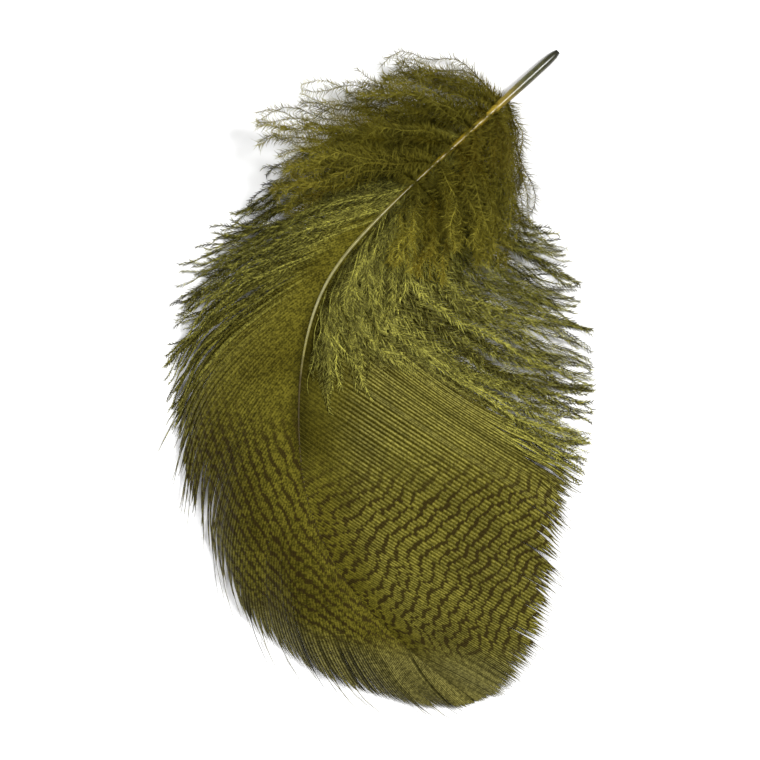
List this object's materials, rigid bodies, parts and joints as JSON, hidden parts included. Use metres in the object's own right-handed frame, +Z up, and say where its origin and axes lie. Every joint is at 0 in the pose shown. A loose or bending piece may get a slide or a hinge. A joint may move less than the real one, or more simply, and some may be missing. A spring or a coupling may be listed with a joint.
{
  "type": "mallard flank feather",
  "caption": "Curved body feather lying flat: two arched vanes of fine barbs with wavy dark bars, a fluffy olive base of down, a thin curved shaft and a short bare quill.",
  "frame": {"origin": "middle of the feather's outline seen from above, at the level of the surface it lies on", "axes": "+Z up from the surface, out of the feather's outer face; +Y away from the tip, along the feather's longest extent; +X toward the wider inner vane"},
  "size_m": [0.0445, 0.0698, 0.0086],
  "materials": {
    "feather": "matte olive barbs with a soft sheen, dark brown wavy bars, cream to brown shaft"
  },
  "bodies": {
    "root": {"feather": "feather"}
  },
  "joints": []
}
